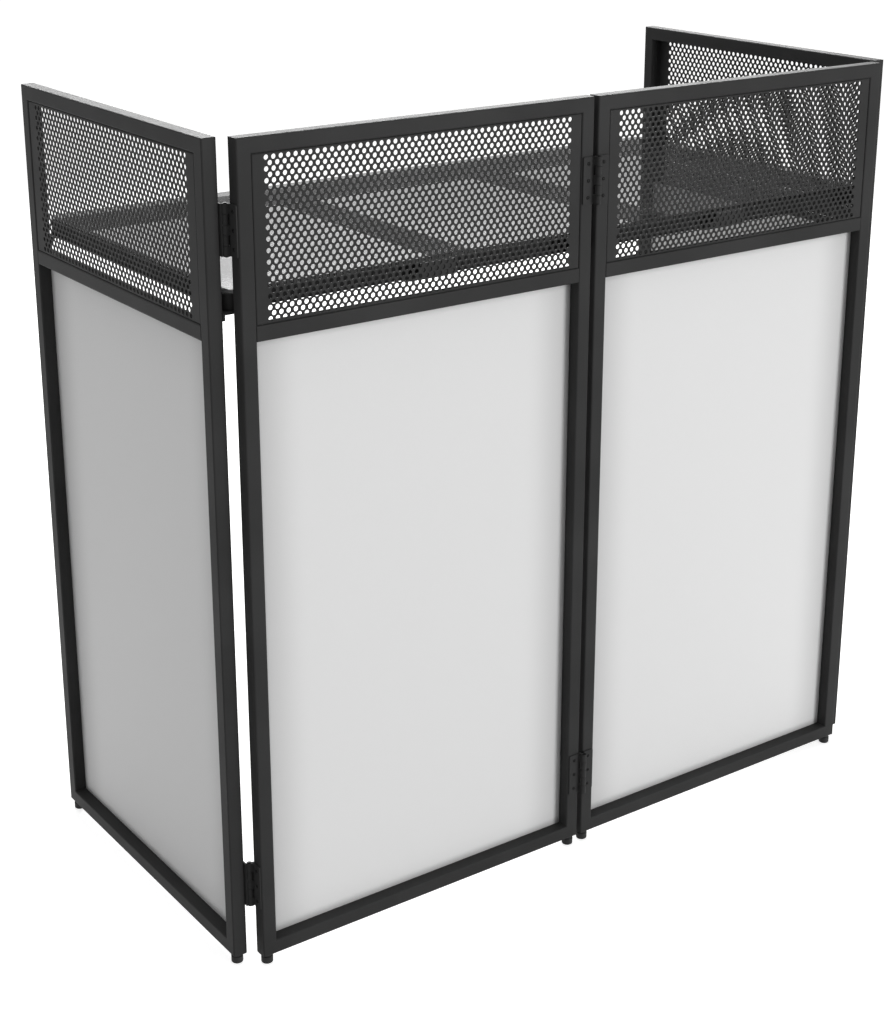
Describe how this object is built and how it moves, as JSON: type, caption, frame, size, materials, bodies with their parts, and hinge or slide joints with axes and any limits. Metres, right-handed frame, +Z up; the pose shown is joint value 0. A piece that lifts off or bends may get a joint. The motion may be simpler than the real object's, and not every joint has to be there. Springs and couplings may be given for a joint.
{
  "type": "folding dj booth",
  "caption": "Folding booth of framed cloth panels with perforated tops, hinged side wings and a lift-out table, on small rubber feet.",
  "frame": {"origin": "on the floor, in the middle of the overall width and depth", "axes": "+X along the front, to the right as seen from the front; +Y from the front to the open back; +Z up"},
  "size_m": [1.13, 0.5414, 1.099],
  "materials": {
    "frame": "matt black powder coat",
    "grille": "matt black powder coat on perforated sheet",
    "hinge_black": "satin black",
    "hinge_steel": "dark steel",
    "cloth": "white stretch cloth",
    "rubber": "matt",
    "moulding": "matt",
    "table_plate": "smoked, polished"
  },
  "bodies": {
    "front_left": {"fold_hinge_left_leaves": "hinge_black", "fold_hinge_pins": "hinge_steel", "front_left_bottom_rail": "frame", "front_left_feet": "rubber", "front_left_fold_upright": "frame", "front_left_grille": "grille", "front_left_hinge_screws": "hinge_steel", "front_left_mid_rail": "frame", "front_left_outer_upright": "frame", "front_left_scrim": "cloth", "front_left_scrim_ledge": "frame", "front_left_table_bracket": "frame", "front_left_top_rail": "frame", "left_hinge_front_leaves": "hinge_black", "left_hinge_pins": "hinge_steel"},
    "front_right": {"fold_hinge_right_leaves": "hinge_black", "front_right_bottom_rail": "frame", "front_right_feet": "rubber", "front_right_fold_upright": "frame", "front_right_grille": "grille", "front_right_hinge_screws": "hinge_steel", "front_right_mid_rail": "frame", "front_right_outer_upright": "frame", "front_right_scrim": "cloth", "front_right_scrim_ledge": "frame", "front_right_table_bracket": "frame", "front_right_top_rail": "frame", "right_hinge_front_leaves": "hinge_black", "right_hinge_pins": "hinge_steel"},
    "left_wing": {"left_hinge_wing_leaves": "hinge_black", "left_wing_bottom_rail": "frame", "left_wing_feet": "rubber", "left_wing_front_upright": "frame", "left_wing_grille": "grille", "left_wing_hinge_screws": "hinge_steel", "left_wing_mid_rail": "frame", "left_wing_rear_upright": "frame", "left_wing_scrim": "cloth", "left_wing_scrim_ledge": "frame", "left_wing_table_brackets": "frame", "left_wing_top_rail": "frame"},
    "right_wing": {"right_hinge_wing_leaves": "hinge_black", "right_wing_bottom_rail": "frame", "right_wing_feet": "rubber", "right_wing_front_upright": "frame", "right_wing_grille": "grille", "right_wing_hinge_screws": "hinge_steel", "right_wing_mid_rail": "frame", "right_wing_rear_upright": "frame", "right_wing_scrim": "cloth", "right_wing_scrim_ledge": "frame", "right_wing_table_brackets": "frame", "right_wing_top_rail": "frame"},
    "table": {"table_corner_blocks": "moulding", "table_cross_bars": "frame", "table_front_rail": "frame", "table_left_rail": "frame", "table_plate": "table_plate", "table_rear_rail": "frame", "table_right_rail": "frame"}
  },
  "joints": [
    {"name": "middle_fold", "type": "hinge", "parent": "front_left", "child": "front_right", "pos_m": [0, -0.2667, 0.55], "axis": [0, 0, -1], "range_deg": [0, 180]},
    {"name": "left_wing_swing", "type": "hinge", "parent": "front_left", "child": "left_wing", "pos_m": [-0.539, -0.2397, 0.55], "axis": [0, 0, 1], "range_deg": [0, 90]},
    {"name": "right_wing_swing", "type": "hinge", "parent": "front_right", "child": "right_wing", "pos_m": [0.539, -0.2397, 0.55], "axis": [0, 0, -1], "range_deg": [0, 90]},
    {"name": "table_lift", "type": "slide", "parent": "front_left", "child": "table", "axis": [0, 0, 1], "range_m": [0, 0.22]}
  ]
}
